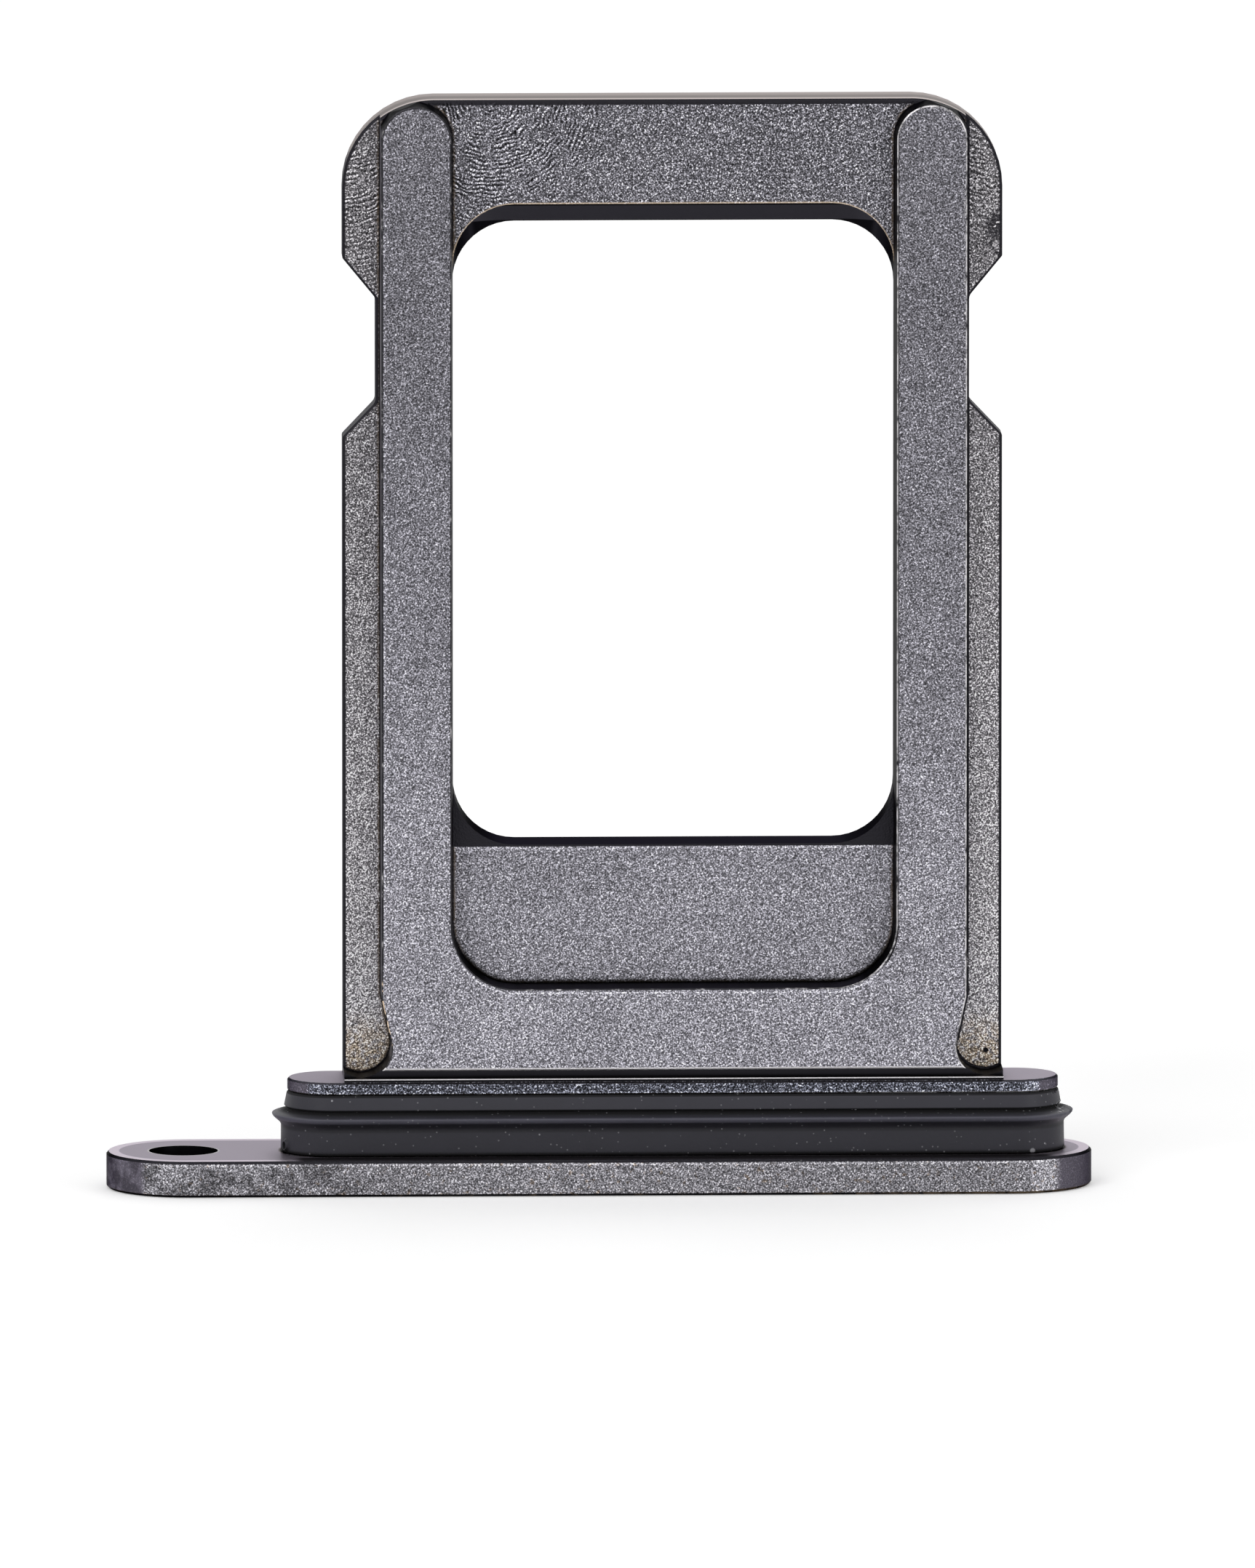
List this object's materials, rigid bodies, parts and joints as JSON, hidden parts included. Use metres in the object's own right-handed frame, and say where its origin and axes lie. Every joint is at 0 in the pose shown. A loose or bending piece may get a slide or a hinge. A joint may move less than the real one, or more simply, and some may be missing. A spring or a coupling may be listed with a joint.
{
  "type": "sim card tray",
  "caption": "Slim machined steel tray that carries a small phone card, with a face plate, an eject hole, spring notches in both sides and a rubber seal ring round its neck.",
  "frame": {"origin": "middle of the face plate's flat outer face, on which the tray stands", "axes": "+X along the face plate away from the eject hole, +Y towards the side with the card pocket, +Z from the outer face up the blade, the way the tray goes into the phone"},
  "size_m": [0.0156, 0.0026, 0.0174],
  "materials": {
    "steel": "dark bead-blasted steel with milled rails and a light satin outer face",
    "seal_rubber": "smooth dark moulded rubber"
  },
  "bodies": {
    "root": {"tray": "steel", "seal": "seal_rubber"}
  },
  "joints": []
}
